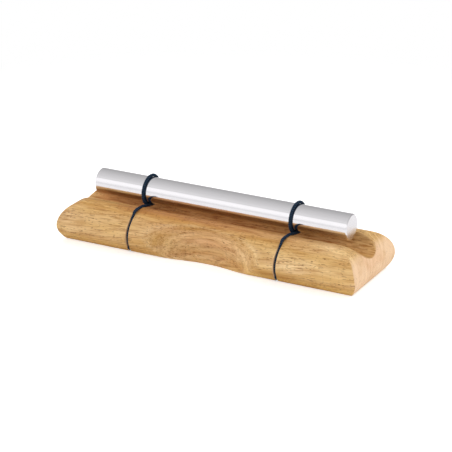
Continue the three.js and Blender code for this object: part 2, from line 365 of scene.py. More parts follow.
def stations():
    """Places of the sections along the base, closer together at the ends of the
    grips, at the kerfs and pockets, and round the ends."""
    kerf = KERF_HALF_WIDTH + KERF_EDGE * KERF_EDGE_SHARES
    near_cord = np.concatenate([ALONG_POCKET, kerf, KERF_MIDDLE])
    cord = CORD_PLACES["right"] + np.concatenate([-near_cord, near_cord[-2::-1]])
    middle = np.linspace(0, GRIP_SIDE_START, MIDDLE_STATIONS, endpoint=False)
    grip_end = np.linspace(GRIP_SIDE_START, cord[0], GRIP_END_STATIONS, endpoint=False)
    beyond = np.linspace(cord[-1], CROWN_LONG_HALF, SHOULDER_STATIONS)[1:-1]
    turn = np.linspace(np.pi / 2, 0, END_STATIONS)
    end = CROWN_LONG_HALF + (LONG_HALF - CROWN_LONG_HALF) * np.cos(turn) ** (2 / END_POWER)
    end = end[end_top(end) - end_bottom(end) > TIP_THICKNESS]
    half = np.concatenate([middle, grip_end, cord, beyond, end])
    return np.concatenate([-half[:0:-1], half])


def along_shares(count, near_share, near_count):
    """Shares from 0 to 1 along a line, with near_count steps packed into near_share
    at each end."""
    knots = [0, near_count / count, 1 - near_count / count, 1]
    return np.interp(np.linspace(0, 1, count), knots, [0, near_share, 1 - near_share, 1])


def round_corner(outline, corner, radius):
    """Rounds the outlines (sections, points, 2) at one point by a parabola that
    touches both sides at radius from it. Also returns how close points are."""
    steps = np.linalg.norm(np.diff(outline, axis=1), axis=2)
    run = np.concatenate([np.zeros((len(outline), 1)), np.cumsum(steps, axis=1)], axis=1)
    away = run - run[:, corner:corner + 1]
    room = np.minimum(radius, CORNER_ROOM_SHARE * run[:, -1:])
    before = unit(outline[:, corner] - outline[:, corner - 2])
    after = unit(outline[:, corner + 2] - outline[:, corner])
    share = np.clip((away + room) / (2 * room), 0, 1)[..., None]
    curve = share**2 * after[:, None] - (1 - share) ** 2 * before[:, None]
    straight = away[..., None] * np.where(away[..., None] < 0, before[:, None], after[:, None])
    near = np.abs(away) < room
    bend = 1 - np.sum(before * after, axis=1)[:, None]
    moved = np.where(near[..., None], room[..., None] * curve - straight, 0)
    return outline + moved, near * np.clip(bend, 0, 1)


def pocket_rounding(x, y):
    """Turns the square rings of the grid round a cord's place into circles near
    the knot pocket. Returns the new x and y and the depth of the pocket there."""
    new_x, new_y, depth = x.copy(), y.copy(), np.zeros_like(x)
    for place in CORD_PLACES.values():
        across = x - place
        ring = np.maximum(np.abs(across), np.abs(y))
        radius = np.hypot(across, y)
        share = 1 - smoothstep(POCKET_ROUND_TO, POCKET_REACH, ring)
        scale = 1 + share * (ring / np.maximum(radius, TINY) - 1)
        new_x = np.where(ring < POCKET_REACH, place + across * scale, new_x)
        new_y = np.where(ring < POCKET_REACH, y * scale, new_y)
        depth = np.maximum(depth, POCKET_DEPTH * (1 - smoothstep(*POCKET_WALL_SPAN, ring)))
    return new_x, new_y, depth


def from_cord(x):
    """Distance along the base from the nearer cord's place."""
    return np.min([np.abs(x - place) for place in CORD_PLACES.values()], axis=0)


def outward(outline):
    """Unit normals of the outlines (sections, points, 2) that run upwards."""
    along = np.gradient(outline, axis=1)
    return unit(np.stack([along[..., 1], -along[..., 0]], axis=-1))


def side_part(x, low, high, kerf):
    """The sections' sides (y, z), from the foot up to the edge of the crown, and
    how close each point is to a grip's edge."""
    shares = along_shares(**SIDE_POINTS)
    z = low + (high - low) * np.sin(np.pi / 2 * shares) ** (2 / SIDE_POWER)
    y, grip_edge = grip_side(z, x + 0 * z)
    side = np.stack([y, z], axis=-1)
    side = side - outward(side) * (kerf * (kerf_depth(z) + notch_depth(y)))[..., None]
    side[..., 1] = np.maximum(side[..., 1], low + kerf * KERF_UNDER_DEPTH)
    return side, grip_edge


def bottom_part(x, low, kerf, foot_y):
    """The sections' undersides (y, z), from the middle to the foot, and their x,
    which the knot pockets shift."""
    outer = 1 - (1 - np.linspace(0, 1, BOTTOM_POINTS)[1:-1]) ** 2
    beyond_pocket = POCKET_REACH + (foot_y - POCKET_REACH) * outer
    y = np.concatenate([ACROSS_POCKET + 0 * x, beyond_pocket], axis=1)
    shifted_x, y, pocket = pocket_rounding(x + 0 * y, y)
    z = low + np.maximum(kerf * KERF_UNDER_DEPTH, pocket)
    return shifted_x, np.stack([y, z], axis=-1)


def top_part(high, kerf, crown_edge):
    """The sections' tops (y, z), from the edge of the crown over the lip and down
    to the bottom of the trough, and how close each point is to the lip."""
    shares = 1 - along_shares(**CROWN_POINTS)[1:-1]
    crown_y = LIP_HALF + (crown_edge - LIP_HALF) * shares
    shares = 1 - np.linspace(0, 1, TROUGH_POINTS) ** TROUGH_POWER
    y = np.concatenate([crown_y, LIP_HALF * shares + 0 * high], axis=1)
    floor = trough_floor(y)
    z = soft_min(high + 0 * y, floor, LIP_SOFTNESS)
    z = z - kerf * notch_depth(y) * smoothstep(*NOTCH_LIP_SPAN, y)
    return np.stack([y, z], axis=-1), closeness(high, floor, LIP_SOFTNESS)


def base_sections():
    """Half sections of the base from the middle of the underside, up the side and
    over the crown to the bottom of the trough."""
    x = stations()[:, None]
    low, high = end_bottom(x), end_top(x)
    kerf = 1 - smoothstep(KERF_HALF_WIDTH - KERF_EDGE, KERF_HALF_WIDTH + KERF_EDGE, from_cord(x))
    side, grip_edge = side_part(x, low, high, kerf)
    bottom_x, bottom = bottom_part(x, low, kerf, side[:, :1, 0])
    top, lip_edge = top_part(high, kerf, side[:, -1:, 0])

    half = np.concatenate([bottom, side, top], axis=1)
    foot, crown = bottom.shape[1], bottom.shape[1] + side.shape[1] - 1
    half_x = np.concatenate([bottom_x, (x + 0 * half[..., 0])[:, foot:]], axis=1)
    near_cord = 1 - smoothstep(KERF_LEAN_START, POCKET_REACH, from_cord(x))
    lean = kerf_lean(half[..., 0], half[..., 1]) * near_cord
    # Painted shade in the kerfs below the shoulder, with the darker saw-cut wood.
    sawn_and_shaded = kerf * (half[..., 1] < KERF_START_Z) * (np.arange(half.shape[1]) <= crown)
    edge = np.concatenate([0 * bottom_x, grip_edge, lip_edge], axis=1)
    for corner, radius in ((foot, FOOT_EDGE), (crown, CREASE_EDGE)):
        half, near = round_corner(half, corner, radius)
        edge = np.maximum(edge, near)
    return half_x, half, lean, {"edge": edge, "sawn_and_shaded": sawn_and_shaded}


def base_grid():
    """The base's whole surface: each half section as the rear half, and its
    mirror image as the front half, whose kerfs lean the other way."""
    x, half, lean, marks = base_sections()
    rear = np.stack([x + lean, half[..., 0], half[..., 1]], axis=-1)
    front = np.stack([x - lean, -half[..., 0], half[..., 1]], axis=-1)[:, -2:0:-1]
    marks = {key: np.concatenate([mark, mark[:, -2:0:-1]], axis=1) for key, mark in marks.items()}
    return np.concatenate([rear, front], axis=1), marks


# Tones of the base: painted shade and painted light in the wood's colour. A row
# is an S curve of a measure: where it starts and ends, and its level before and
# after. A patch is its share, place (x, z) and reach.

# Where painted shade falls: the rod's shadow in the trough and on the crown, less towards the rod's right
# end, above the grips' creases and on the front grip's left. The trough's tone also strengthens its
# streaks.
TROUGH_TONE = (("out", LIP_HALF - 2, LIP_HALF + 1, 1, 0), ("up", 8, 12, 0, 1))
CROWN_TONE = (("out", CROWN_WIDE_HALF, CROWN_WIDE_HALF + 9, 1, 0), ("along", 50, 72, 1, 0))
SHADE_REACH = (
    ("right", 0, 45, 1, 0.6),
    ("right", ROD_HALF - 28, ROD_HALF + 8, 1, 0.45),
    ("left", ROD_HALF, LONG_HALF, 1, 0),
    ("up", 8, 12, 0, 1),
)
CREASE_SHADE = (("crease", -0.3, 0.3, 0, 0.3), ("crease", 0.3, 5, 1, 0))
SHADE_PATCHES = ((0.45, (-24, 20), (15, 5)),)
SHADE_GAP_PATCHES = ((0.35, (-30, 5), (22, 6)),)
# Where painted light falls: paler sides and grips below the crown, more towards the right, on the lips,
# the right shoulder and a few patches.
PALE_BELOW_CROWN = (("up", 16, 24, 1, 0), ("out", LIP_HALF, LIP_HALF + 3, 0, 1))
PALE_ABOVE_FOOT = (("up", 3, 10, 0, 1),)
PALE_IN_GRIP = (("along", 34, 42, 1, 0),)
PALE_RIGHTWARDS = (("right", -60, 90, 0.21, 0.79),)
PALE_LIPS = (("crease", -0.3, 0.3, 1, 0), ("right", -20, 20, 0.75, 1))
PALE_RIGHT_TOP = (("right", 64, 88, 0, 0.5), ("up", 14, 20, 0, 1))
PALE_PATCHES = ((0.55, (-5, 14), (13, 5)), (0.5, (86, 10), (18, 16)), (0.35, (-93, 12), (8, 14)))
# Painted shade colour at the foot beside the grips: warmer and less blue, as the downward-facing foot
# gets little light from below.
FOOT_SHADE = (("up", 1, 7, 1, 0), ("along", GRIP_CREASE_HALF - 4, GRIP_CREASE_HALF + 4, 0, 1))


def end_grain(grid):
    """How far each point of the base faces along the grain, from 0 to 1."""
    along = np.gradient(grid, axis=0)
    across = np.roll(grid, -1, axis=1) - np.roll(grid, 1, axis=1)
    return np.abs(unit(np.cross(along, across))[..., 0])


def tone(grid, rows):
    """The product of the rows' S curves at each point. The measure crease is the
    height above the line where a grip's wall meets its lip, a parabola that comes
    down to the table at both ends."""
    x, y, z = grid[..., 0], np.abs(grid[..., 1]), grid[..., 2]
    line = GRIP_CREASE_Z * (1 - (x / GRIP_CREASE_HALF) ** 2)
    measures = {"right": x, "left": -x, "along": np.abs(x), "out": y, "up": z}
    measures["crease"] = np.where(line > 0, z - line, RIDGE)
    product = 1
    for measure, start, end, before, after in rows:
        product = product * (before + (after - before) * smoothstep(start, end, measures[measure]))
    return product


def patched(grid, patches):
    """Soft ovals on the front, each its share at its place and fading over its
    reach by a bell curve, added up."""
    total = 0
    for share, place, reach in patches:
        across = (grid[..., 0] - place[0]) / reach[0]
        upward = (grid[..., 2] - place[1]) / reach[1]
        total = total + share * np.exp(-across**2 - upward**2)
    return total * (grid[..., 1] < -LIP_HALF)


def deep_tone(grid):
    """How much painted shade each point gets: the rod's shadow and the shade of the
    hollows, in the trough and on the crown beside the rod, less towards the right,
    and a little above the grips' creases and at the left of the front grip."""
    top = np.maximum(tone(grid, TROUGH_TONE), tone(grid, CROWN_TONE)) * tone(grid, SHADE_REACH)
    top = top * (1 - patched(grid, SHADE_GAP_PATCHES))
    crease = tone(grid, CREASE_SHADE) * (np.abs(grid[..., 1]) > LIP_HALF)
    return np.maximum(top, np.maximum(crease, patched(grid, SHADE_PATCHES)))


def pale_tone(grid):
    """How much painted light each point gets, where brighter light and sheen fall:
    on the sides and in the grips, more towards the right, in the middle of the
    front grip's wall and on the grips' lips."""
    sides = np.maximum(tone(grid, PALE_ABOVE_FOOT), tone(grid, PALE_IN_GRIP))
    sides = np.maximum(sides * tone(grid, PALE_RIGHTWARDS), tone(grid, PALE_LIPS))
    more = tone(grid, PALE_RIGHT_TOP) + patched(grid, PALE_PATCHES)
    return tone(grid, PALE_BELOW_CROWN) * sides + more


# Shape of the rod


def rod_grid():
    """The rod: circles along a profile whose end chamfers have softened corners,
    and which turns in over the end faces."""
    body = np.linspace(0, ROD_HALF - ROD_BODY_END, ROD_BODY_RINGS)
    half_x = np.concatenate([body, ROD_HALF - ROD_END_INSETS])
    half_r = ROD_RADIUS - np.concatenate([0 * body, ROD_END_DROPS])
    x = np.concatenate([-half_x[:0:-1], half_x])[:, None]
    radius = np.concatenate([half_r[:0:-1], half_r])[:, None]
    turn = np.linspace(0, FULL_TURN, ROD_SIDES, endpoint=False)
    return np.stack([x + 0 * turn, radius * np.cos(turn), ROD_AXIS + radius * np.sin(turn)], axis=-1)


# Shape of the cords


def span_line():
    """The free span's slope, its start over the lip of the trough and its end
    under the rod, in the (y, z) plane: the line that keeps a cord's lift above
    the one and below the other."""
    axis = np.array([0, ROD_AXIS])
    between = axis - NOTCHED_LIP
    dip = np.arcsin((CORD_LIFT + WRAP_RADIUS) / np.hypot(*between))
    slope = np.arctan2(between[1], between[0]) - dip
    normal = np.array([-np.sin(slope), np.cos(slope)])
    return slope, NOTCHED_LIP + normal * CORD_LIFT, axis - normal * WRAP_RADIUS


def even_steps(line):
    """The same line in steps of even length, near the cord's step."""
    run = distances(line)
    places = np.linspace(0, run[-1], max(int(round(run[-1] / CORD_STEP)), 2) + 1)
    return np.stack([np.interp(places, run, line[:, n]) for n in range(line.shape[1])], axis=-1)


def smooth_line(points):
    """A line of even steps through the points: Catmull-Rom pieces whose speed
    follows the root of the distance between points."""
    padded = np.vstack([2 * points[0] - points[1], points, 2 * points[-1] - points[-2]])
    gaps = np.linalg.norm(np.diff(padded, axis=0), axis=1) ** 0.5
    knots = np.concatenate([[0], np.cumsum(gaps)])
    steps = np.linspace(knots[1], knots[-2], LINE_STEPS * len(points))
    k = np.clip(np.searchsorted(knots, steps, side="right") - 1, 1, len(points) - 1)

    def between(a, b, ta, tb):
        """The point between a, at ta, and b, at tb, for each step."""
        share = ((steps - ta) / (tb - ta))[:, None]
        return a + (b - a) * share

    t0, t1, t2, t3 = (knots[k + n] for n in (-1, 0, 1, 2))
    p0, p1, p2, p3 = (padded[k + n] for n in (-1, 0, 1, 2))
    a1, a2, a3 = between(p0, p1, t0, t1), between(p1, p2, t1, t2), between(p2, p3, t2, t3)
    return even_steps(between(between(a1, a2, t0, t2), between(a2, a3, t1, t3), t1, t2))


def face_run():
    """The cord's middle line (y, z) up the front's kerf and shoulder, to the edge
    of the crown: the face's outline, sunk with the kerf and the notch."""
    turn = np.linspace(0, np.pi / 2, RUN_SHOULDER_POINTS + 1)[1:]
    shoulder = (RIDGE - SIDE_BULGE_Z) * np.sin(turn) ** (2 / SIDE_POWER)
    z = np.concatenate([SIDE_BULGE_Z * RUN_SIDE_SHARES, SIDE_BULGE_Z + shoulder])
    fine = np.linspace(0, FACE_TOP, FACE_STEPS)
    normals = outward(np.stack([side_profile(fine), fine], axis=-1)[None])[0]
    normals = np.stack([np.interp(z, fine, normals[:, n]) for n in range(2)], axis=-1)
    y, depth = side_profile(z), kerf_depth(z)
    lift = CORD_LIFT + (CORD_KERF_LIFT - CORD_LIFT) * depth / KERF_DEPTH
    held = np.stack([y, z], axis=-1) + normals * (lift - depth - notch_depth(y))[:, None]
    return held * [-1, 1]


def run_line():
    """The held run in the (y, z) plane, from the knot out under the base, up the
    kerf, over the crown and round the lip of the trough."""
    held = face_run()
    under = KERF_UNDER_DEPTH - CORD_LIFT
    corner = held[0, 0]
    start = [
        [-KNOT_HALF_LENGTH, KNOT_HEIGHT],
        [-POCKET_RADIUS, under + RUN_POCKET_RISE],
        [(corner - POCKET_RADIUS) / 2, under],
        [corner + CORD_RADIUS, under],
    ]
    slope, lip, _ = span_line()
    over = np.pi / 2 + slope * np.linspace(0, 1, RUN_LIP_POINTS)
    lip_turn = NOTCHED_LIP + CORD_LIFT * np.stack([np.cos(over), np.sin(over)], axis=-1)
    return smooth_line(np.vstack([start, held, lip_turn[:-1], lip]))


def run_aside(run):
    """How far to the side of its place the front run lies at each (y, z): along
    the leaning kerf, then straight towards the point where it meets the rod."""
    under_rod = span_line()[2]
    towards = (KERF_START_Y - np.abs(run[:, 0])) / (KERF_START_Y + under_rod[0])
    on_crown = (run[:, 1] > SIDE_BULGE_Z) & (towards > 0)
    return np.where(on_crown, WRAP_PITCH / 2 * towards, -kerf_lean(run[:, 0], run[:, 1]))


def cord_lines():
    """The middle line of each stretch of a cord at x = 0, front to rear: run,
    span, wrap, span, run, each from where the last one ended."""
    slope = span_line()[0]
    run = run_line()
    run = np.column_stack([run_aside(run), run])
    turn = slope + (FULL_TURN - 2 * slope) * np.linspace(0, 1, WRAP_STEPS)
    along = WRAP_PITCH / 2 - WRAP_PITCH * turn / FULL_TURN
    wrap = [along, WRAP_RADIUS * np.sin(turn), ROD_AXIS - WRAP_RADIUS * np.cos(turn)]
    wrap = even_steps(np.column_stack(wrap))
    span = even_steps(np.stack([run[-1], wrap[0]]))
    rear = np.array([-1, -1, 1])
    return {
        "front_run": run,
        "front_span": span,
        "wrap": wrap,
        "rear_span": span[::-1] * rear,
        "rear_run": run[::-1] * rear,
    }


def cord_half_width(line):
    """Half the cord's width across the base: full on the crown and in the air,
    pinched in the kerf."""
    y, z = np.abs(line[:, 1]), line[:, 2]
    pinched = np.where(z < SIDE_BULGE_Z, 1, smoothstep(*CORD_PINCH_SPAN, y))
    return CORD_RADIUS + (CORD_KERF_HALF_WIDTH - CORD_RADIUS) * pinched


def tube(line, half_width, radius, start=0.0, lay=CORD_LAY):
    """A twisted cord round a line: at each step a ring of lobes, one for each
    strand, that turns with the lay. start is the length of cord before the line.
    Returns the grid, its (along, round) map, and how far out of the grooves each
    point is, from 0 to 1."""
    tangent = unit(np.gradient(line, axis=0))
    side = unit(np.array([1.0, 0, 0]) - tangent * tangent[:, :1])
    up = np.cross(tangent, side)
    run = (start + distances(line))[:, None]
    turn = np.linspace(0, FULL_TURN, CORD_SIDES, endpoint=False)
    twist = turn - FULL_TURN * run / lay
    groove = 1 - np.abs(np.cos(CORD_STRANDS * twist / 2)) ** CORD_STRAND_POWER
    lobe = 1 - CORD_GROOVE_SHARE * groove
    across = (np.reshape(half_width, (-1, 1)) * lobe * np.cos(turn))[..., None] * side[:, None]
    upward = (radius * lobe * np.sin(turn))[..., None] * up[:, None]
    uv = np.stack([run + 0 * twist, twist / FULL_TURN], axis=-1)
    return line[:, None] + across + upward, uv, 1 - groove


def knot_line():
    """A tight trefoil: a ring that runs twice round while it winds three times,
    stretched along the cord."""
    turn = np.linspace(0, FULL_TURN, KNOT_STEPS + 1)[:-1]
    out = KNOT_RING + KNOT_WAVE * np.cos(3 * turn)
    x, y = out * np.cos(2 * turn), KNOT_STRETCH * out * np.sin(2 * turn)
    return np.column_stack([x, y, KNOT_HEIGHT + KNOT_LIFT * np.sin(3 * turn)])


# Nodes of the materials


def node(tree, kind, inputs=None, **settings):
    """Adds a shader node, sets its settings, and sets or links its inputs."""
    made = tree.nodes.new(f"ShaderNode{kind}")
    for key, value in settings.items():
        setattr(made, key, value)
    for key, value in (inputs or {}).items():
        if isinstance(value, bpy.types.NodeSocket):
            tree.links.new(value, made.inputs[key])
        else:
            made.inputs[key].default_value = value
    return made


def tree_of(*values):
    """The node tree of the first socket among the values."""
    return next(value.id_data for value in values if isinstance(value, bpy.types.NodeSocket))


def sums(kind, *values):
    """A Math node on the values, each a number or a socket."""
    return node(tree_of(*values), "Math", dict(enumerate(values)), operation=kind).outputs[0]


plus, minus, times = (partial(sums, kind) for kind in ("ADD", "SUBTRACT", "MULTIPLY"))


def from_axis(first, second):
    """The root of first squared plus second squared."""
    return sums("SQRT", plus(times(first, first), times(second, second)))


def mixed(share, first, second, blend="MIX"):
    """The first colour mixed with the second by share."""
    inputs = {0: share, 6: first, 7: second}
    tree = tree_of(share, first, second)
    return node(tree, "Mix", inputs, data_type="RGBA", blend_type=blend).outputs[2]


def tinted(share, colour, tint):
    """The colour multiplied by the tint, by share."""
    return mixed(share, colour, (*tint, 1), "MULTIPLY")


def ramped(value, low, high):
    """0 where value is below low, 1 above high, smooth between."""
    inputs = {"Value": value, "From Min": low, "From Max": high}
    made = node(value.id_data, "MapRange", inputs, interpolation_type="SMOOTHSTEP")
    return made.outputs["Result"]


def layered(colour, pattern, low, high, over, share):
    """The colour under another one, which shows by share as the pattern goes from
    low to high."""
    return mixed(times(ramped(pattern, low, high), share), colour, over)


def scaled(vector, scale, shift=(0, 0, 0)):
    """The vector times scale, plus shift."""
    inputs = {"Vector": vector, "Scale": scale, "Location": shift}
    return node(vector.id_data, "Mapping", inputs).outputs["Vector"]


def noise(vector, scale, shift=(0, 0, 0), detail=2.0, roughness=0.5, distortion=0.0):
    """Noise from 0 to 1, scale blobs for each unit of the vector. A scale of two
    numbers is along and across the grain."""
    if len(scale) == 2:
        scale = (scale[0], scale[1], scale[1])
    inputs = {"Detail": detail, "Roughness": roughness, "Distortion": distortion, "Scale": 1.0}
    inputs["Vector"] = scaled(vector, scale, shift)
    return node(vector.id_data, "TexNoise", inputs).outputs["Fac"]


def marked(tree, name):
    """The value that the mesh holds for each point under a name."""
    return node(tree, "Attribute", attribute_name=name).outputs["Fac"]


def separated(vector):
    """The X, Y and Z of a vector."""
    return node(vector.id_data, "SeparateXYZ", {"Vector": vector}).outputs


def joined(tree, **parts):
    """A vector from its X, Y or Z."""
    return node(tree, "CombineXYZ", parts).outputs[0]


def in_millimetres(tree, shift=(0, 0, 0)):
    """The place on the object in millimetres, plus shift."""
    place = node(tree, "TexCoord").outputs["Object"]
    return scaled(place, (1 / MM, 1 / MM, 1 / MM), shift)


def new_material(name, look):
    """A material of one Principled BSDF, whose plain inputs are those of look."""
    material = bpy.data.materials.new(name)
    material.use_nodes = True
    tree = material.node_tree
    shader = tree.nodes["Principled BSDF"]
    for key, value in look.items():
        shader.inputs[key].default_value = value
    return material, tree, shader


def finished(tree, shader, colour, height, bump, roughness, rougher):
    """Sets the shader's colour, its normal from a height, with the strength and
    depth of the bump, and its roughness, plus each rougher value by its weight."""
    inputs = {"Height": height, "Strength": bump[0], "Distance": bump[1] * MM}
    normal = node(tree, "Bump", inputs).outputs["Normal"]
    for value, weight in rougher:
        roughness = plus(roughness, times(value, weight))
    for key, value in (("Base Color", colour), ("Roughness", roughness), ("Normal", normal)):
        tree.links.new(value, shader.inputs[key])


def rgb(red, green, blue):
    """A colour given as it shows on a screen, from 0 to 255, as linear light."""
    shown = np.array([red, green, blue]) / 255
    linear = np.where(shown <= 0.04045, shown / 12.92, ((shown + 0.055) / 1.055) ** 2.4)
    return (*linear.tolist(), 1.0)


# Wood. A layer is the span of its pattern, its colour and its share.

GRAIN_TILT = np.radians(4.5)
PITH = (75, -30)
WANDER = {"scale": (0.014, 0.05), "shift": (8, 3, 5), "detail": 1}
WANDER_HEIGHT = 6
DRIFT = {"scale": (0.012, 0.05), "shift": (3, 7, 1), "detail": 1}
DRIFT_RADIUS = 5
RING_DENSITY = 0.32
RINGS = {"scale": (1, 1), "detail": 3, "roughness": 0.6}
GRAIN_NOISES = {
    "Streaks": {
        "scale": (0.05, 0.8), "shift": (5, 2, 9), "detail": 4, "roughness": 0.66, "distortion": 0.2,
    },
    "Patches": {"scale": (0.018, 0.09), "shift": (1, 4, 2)},
    "Fibres": {"scale": (0.08, 1.5), "detail": 4, "roughness": 0.7},
    "Threads": {"scale": (0.05, 1.15), "shift": (7, 7, 3)},
}
CROWDING = {"scale": (0.03, 0.3), "shift": (9, 1, 5)}
CROWDING_SPAN = (0.36, 0.66)
PORES = (((0.4, 3.1, 3.1), 0.38), ((0.15, 2.4, 2.4), 0.36))
PORE_LEAST_SHARE = 0.55
PORE_KEPT_SPAN = (0.35, 0.9)
PORE_EDGE_SPAN = (-0.02, 0.08)

GOLD = rgb(220, 178, 112)
TAN = rgb(200, 152, 84)
RING_SPAN = (0.36, 0.62)
LONG_GRAIN_LAYERS = {
    "Patches": (0.42, 0.62, rgb(224, 184, 128), 0.6),
    "Lines": (0.035, 0.0, rgb(160, 104, 50), 0.24),
    "Streaks": (0.46, 0.66, rgb(164, 108, 48), 0.55),
    "Fibres": (0.4, 0.7, rgb(172, 118, 56), 0.4),
    "Threads": (0.6, 0.68, rgb(152, 98, 46), 0.55),
}
TROUGH_STREAK_SHARE = 0.4
END_GRAIN_SPAN = (0.5, 0.85)
END_LIGHT = rgb(243, 208, 170)
END_DARK = rgb(232, 192, 149)
END_PATCH_SPAN = (0.35, 0.65)
END_RING_LAYER = (0.45, 0.62, rgb(214, 168, 122), 0.3)
# Painted light: a paler, less saturated colour where the wood is lit more brightly and shows sheen.
PAINTED_LIGHT_TINT = (1.3, 1.52, 2.1)
PALE_PATCH_SPAN = (0, 0.45)
# Painted shade colour of the foot.
FOOT_SHADE_TINT = (1.08, 1.06, 0.8)
# Painted shade: a deeper, redder colour where the rod's shadow and the shade of the hollows fall.
SHADE_TINT = (0.84, 0.65, 0.54)
# Wear on the edges, with a painted highlight where the edges of the grips and lips and the corners catch
# the light.
WEAR_AND_HIGHLIGHT_SPAN = (0.65, 0.35)
WEAR_AND_HIGHLIGHT_SHARE = 0.35
WEAR_AND_HIGHLIGHT_COLOUR = rgb(232, 202, 158)
PORE_SHARE = 0.9
PORE_END_LOSS_SHARE = 0.5
PORE_COLOUR = rgb(112, 54, 16)
# Kerfs: darker saw-cut wood and painted shade in the narrow slot.
SAWN_AND_SHADED_SHARE = 0.8
SAWN_AND_SHADED_COLOUR = rgb(58, 36, 22)
WOOD_ROUGHNESS = 0.34
WOOD_ROUGHER = (0.15, 0.2, 0.2)
WOOD_FIBRE_HEIGHT = 0.25
WOOD_BUMP = (0.4, 0.15)
WOOD_LOOK = {"Specular IOR Level": 0.25}


def pore_share(place, density, size, crowding):
    """1 in the open pores, 0 outside: one long grain to a cell of the density, as
    wide as size at most, and narrower where crowding is low."""
    inputs = {"Vector": scaled(place, density), "Scale": 1.0, "Randomness": 1.0}
    cells = node(place.id_data, "TexVoronoi", inputs).outputs
    kept = node(place.id_data, "SeparateColor", {"Color": cells["Color"]}).outputs["Red"]
    width = plus(times(crowding, 1 - PORE_LEAST_SHARE), PORE_LEAST_SHARE)
    width = times(times(width, size), ramped(kept, *PORE_KEPT_SPAN))
    return ramped(minus(width, cells["Distance"]), *PORE_EDGE_SPAN)


def grain_place(vector):
    """The place in the grain: tilted, and lifted and lowered by a slow noise."""
    group = vector.id_data
    inputs = {"Vector": vector, "Angle": GRAIN_TILT}
    turned = node(group, "VectorRotate", inputs, rotation_type="Y_AXIS").outputs[0]
    wander = times(minus(noise(turned, **WANDER), 0.5), WANDER_HEIGHT)
    inputs = {0: turned, 1: joined(group, Z=wander)}
    return node(group, "VectorMath", inputs, operation="ADD").outputs[0]


def ring_noise(place):
    """Growth rings: noise along the distance from the pith, which drifts a little."""
    drift = times(minus(noise(place, **DRIFT), 0.5), DRIFT_RADIUS)
    parts = separated(place)
    radius = from_axis(minus(parts["Y"], PITH[0]), minus(parts["Z"], PITH[1]))
    along = times(plus(radius, drift), RING_DENSITY)
    return noise(joined(place.id_data, X=along), **RINGS)


def wood_group():
    """Wood in the block, in millimetres along and across the grain: growth rings
    and the lines at their middle value, streaks, fine fibres and open pores."""
    group = bpy.data.node_groups.new("hardwood_grain", "ShaderNodeTree")
    group.interface.new_socket(name="Place", in_out="INPUT", socket_type="NodeSocketVector")
    start, result = group.nodes.new("NodeGroupInput"), group.nodes.new("NodeGroupOutput")
    place = grain_place(start.outputs["Place"])
    crowding = ramped(noise(place, **CROWDING), *CROWDING_SPAN)
    values = {key: noise(place, **look) for key, look in GRAIN_NOISES.items()}
    values["Pores"] = sums("MAXIMUM", *(pore_share(place, *pores, crowding) for pores in PORES))
    values["Rings"] = ring_noise(place)
    values["Lines"] = sums("ABSOLUTE", minus(values["Rings"], 0.5))
    for key, value in values.items():
        group.interface.new_socket(name=key, in_out="OUTPUT", socket_type="NodeSocketFloat")
        group.links.new(value, result.inputs[key])
    return group


def long_grain_colour(tree, grain):
    """The wood's colour along the grain: golden rings over tan, with its layers,
    whose streaks are stronger in the trough."""
    colour = mixed(ramped(grain["Rings"], *RING_SPAN), GOLD, TAN)
    for key, (*look, share) in LONG_GRAIN_LAYERS.items():
        if key == "Streaks":
            share = plus(share, times(marked(tree, "trough"), TROUGH_STREAK_SHARE))
        colour = layered(colour, grain[key], *look, share)
    return colour


def end_grain_colour(grain):
    """The wood's colour on its end grain: pale pink, with faint rings."""
    colour = mixed(ramped(grain["Patches"], *END_PATCH_SPAN), END_LIGHT, END_DARK)
    return layered(colour, grain["Rings"], *END_RING_LAYER)


def hardwood():
    """Oiled light hardwood: long grain and end grain, with painted light in paler
    tones, painted shade in warmer and deeper tones, wear and a painted highlight on
    the edges, open pores, and kerfs darkened by the saw and by painted shade."""
    material, tree, shader = new_material("oiled_hardwood", WOOD_LOOK)
    grain = node(tree, "Group", {"Place": in_millimetres(tree)}, node_tree=wood_group()).outputs
    end = ramped(marked(tree, "end_grain"), *END_GRAIN_SPAN)

    # Painted light on the sides, the grips and the lips.
    painted_light = times(marked(tree, "pale_tone"), ramped(grain["Patches"], *PALE_PATCH_SPAN))
    colour = tinted(painted_light, long_grain_colour(tree, grain), PAINTED_LIGHT_TINT)
    # Painted shade colour near the foot.
    colour = tinted(marked(tree, "foot_tone"), colour, FOOT_SHADE_TINT)
    colour = mixed(end, colour, end_grain_colour(grain))
    # Painted shade: the rod's shadow, the trough's shade and the shade above the creases.
    colour = tinted(marked(tree, "deep_tone"), colour, SHADE_TINT)
    # Wear and a painted highlight on the edges.
    wear_and_highlight = times(marked(tree, "edge"), ramped(grain["Streaks"], *WEAR_AND_HIGHLIGHT_SPAN))
    colour = mixed(times(wear_and_highlight, WEAR_AND_HIGHLIGHT_SHARE), colour, WEAR_AND_HIGHLIGHT_COLOUR)
    filled = minus(PORE_SHARE, times(end, PORE_END_LOSS_SHARE))
    colour = mixed(times(grain["Pores"], filled), colour, PORE_COLOUR)
    # Painted shade in the kerfs, with the darker saw-cut wood.
    colour = mixed(times(marked(tree, "sawn_and_shaded"), SAWN_AND_SHADED_SHARE), colour, SAWN_AND_SHADED_COLOUR)
    height = minus(times(grain["Fibres"], WOOD_FIBRE_HEIGHT), grain["Pores"])
    rougher = zip((grain["Fibres"], grain["Pores"], end), WOOD_ROUGHER)
    finished(tree, shader, colour, height, WOOD_BUMP, WOOD_ROUGHNESS, rougher)
    return material


# Metal

